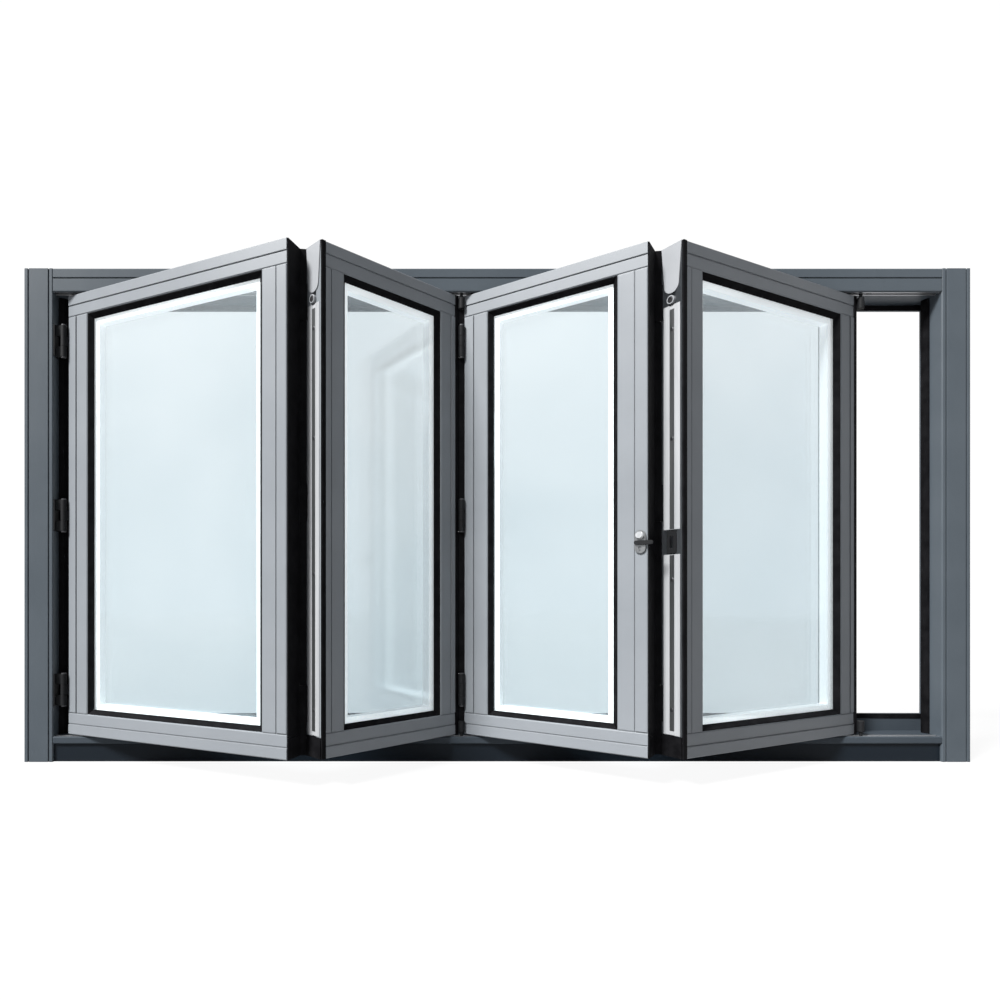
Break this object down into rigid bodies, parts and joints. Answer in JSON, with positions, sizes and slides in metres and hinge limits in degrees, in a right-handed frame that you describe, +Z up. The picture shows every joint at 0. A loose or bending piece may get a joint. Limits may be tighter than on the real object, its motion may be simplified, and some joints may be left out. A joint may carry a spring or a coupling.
{
  "type": "folding window",
  "caption": "Top-hung folding window: glazed metal leaves hinged in a concertina inside a rectangular metal frame, standing part open.",
  "frame": {"origin": "centre of the sill's flat underside, halfway through the depth of the frame", "axes": "+X along the window to the right as seen from outside, +Y into the room, +Z up"},
  "size_m": [2.1, 0.3102, 1.095],
  "materials": {
    "frame_paint": "satin powder coat, slate grey",
    "leaf_paint": "satin powder coat, slate grey",
    "mill_aluminium": "satin",
    "bare_steel": "satin",
    "dark_steel": "satin, near black",
    "black_rubber": "matt",
    "white_spacer": "matt",
    "clear_glass": "clear, polished"
  },
  "bodies": {
    "root": {"left_jamb": "frame_paint", "right_jamb": "frame_paint", "head": "frame_paint", "sill": "frame_paint", "top_track": "mill_aluminium", "bottom_track": "mill_aluminium", "jamb_seals": "black_rubber", "stop_seals": "black_rubber", "leaf1_stiles": "leaf_paint", "leaf1_rails": "leaf_paint", "leaf1_panes": "clear_glass", "leaf1_spacer": "white_spacer", "leaf1_gaskets": "black_rubber", "leaf1_beads": "leaf_paint", "leaf2_stiles": "leaf_paint", "leaf2_rails": "leaf_paint", "leaf2_panes": "clear_glass", "leaf2_spacer": "white_spacer", "leaf2_gaskets": "black_rubber", "leaf2_beads": "leaf_paint", "leaf3_stiles": "leaf_paint", "leaf3_rails": "leaf_paint", "leaf3_panes": "clear_glass", "leaf3_spacer": "white_spacer", "leaf3_gaskets": "black_rubber", "leaf3_beads": "leaf_paint", "leaf4_stiles": "leaf_paint", "leaf4_rails": "leaf_paint", "leaf4_panes": "clear_glass", "leaf4_spacer": "white_spacer", "leaf4_gaskets": "black_rubber", "leaf4_beads": "leaf_paint", "jamb_hinges": "dark_steel", "apex_hinges_left": "dark_steel", "valley_hinges": "dark_steel", "apex_hinges_right": "dark_steel", "hinge_pins": "bare_steel", "top_carriers": "dark_steel", "bottom_guides": "dark_steel", "edge_plates": "leaf_paint", "bottom_caps": "black_rubber", "handle_base": "bare_steel", "handle_lever": "dark_steel", "lock_cylinder": "bare_steel", "lock_keeper": "dark_steel"}
  },
  "joints": []
}
